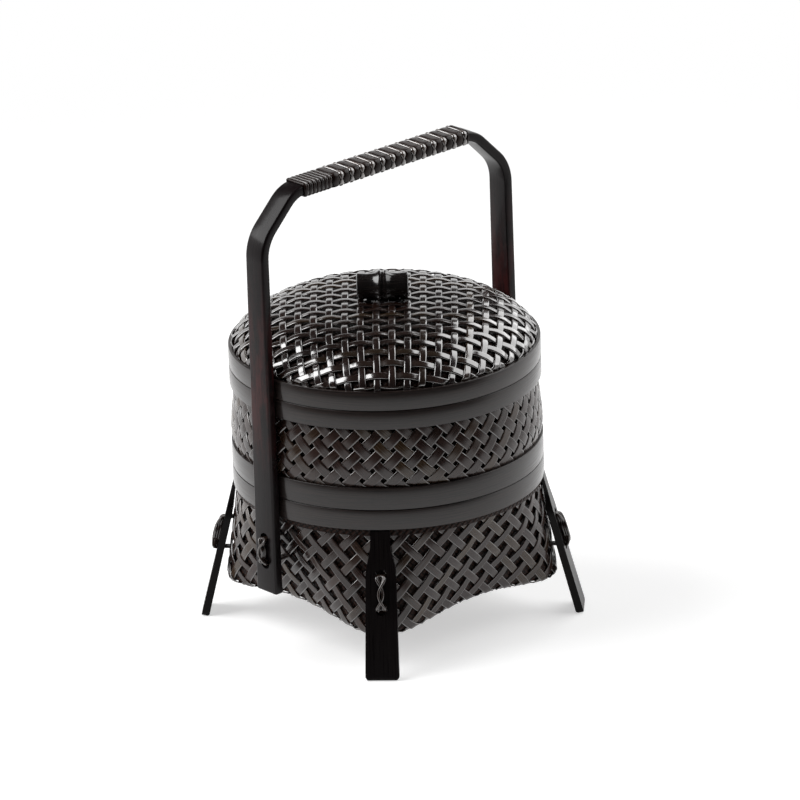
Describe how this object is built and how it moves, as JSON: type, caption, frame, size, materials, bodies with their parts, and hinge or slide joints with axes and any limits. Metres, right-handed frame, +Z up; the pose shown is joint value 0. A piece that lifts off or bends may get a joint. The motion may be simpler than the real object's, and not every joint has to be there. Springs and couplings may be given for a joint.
{
  "type": "tiered bamboo food basket",
  "caption": "Lacquered bamboo basket: a woven base on splayed legs, a stacked tray, a domed lid with a knob, and an arched carrying handle over them.",
  "frame": {"origin": "on the floor under the middle of the basket", "axes": "+Z up; the handle's arch lies in the XZ plane, and the square base's corners and legs lie at 45 degrees to it"},
  "size_m": [0.1498, 0.133, 0.2069],
  "materials": {
    "lacquered_bamboo": "satin dark lacquer on bent bamboo",
    "woven_bamboo": "satin stained and lacquered splints",
    "rattan": "satin stained rattan",
    "polished_bamboo": "gloss lacquer"
  },
  "bodies": {
    "base": {"base_basket": "woven_bamboo", "base_rim_hoop": "lacquered_bamboo", "base_lip_hoop": "lacquered_bamboo", "handle_bar": "lacquered_bamboo", "handle_wrap": "rattan", "handle_lashing_left": "rattan", "handle_lashing_right": "rattan", "handle_peg_left": "rattan", "handle_peg_right": "rattan", "leg_front_left": "lacquered_bamboo", "leg_front_right": "lacquered_bamboo", "leg_back_left": "lacquered_bamboo", "leg_back_right": "lacquered_bamboo", "leg_lashing_front_left": "rattan", "leg_lashing_front_right": "rattan", "leg_lashing_back_left": "rattan", "leg_lashing_back_right": "rattan"},
    "tray": {"tray_basket": "woven_bamboo", "tray_rim_hoop": "lacquered_bamboo", "tray_lip_hoop": "lacquered_bamboo", "tray_foot_hoop": "lacquered_bamboo", "tray_foot_ring": "lacquered_bamboo"},
    "lid": {"lid_dome": "woven_bamboo", "lid_rim_hoop": "lacquered_bamboo", "lid_inner_hoop": "lacquered_bamboo", "lid_knob": "polished_bamboo", "knob_peg_left": "rattan", "knob_peg_right": "rattan"}
  },
  "joints": [
    {"name": "tray_lift", "type": "slide", "parent": "base", "child": "tray", "axis": [0, 0, 1], "range_m": [0, 0.02]},
    {"name": "lid_lift", "type": "slide", "parent": "tray", "child": "lid", "axis": [0, 0, 1], "range_m": [0, 0.024]}
  ]
}
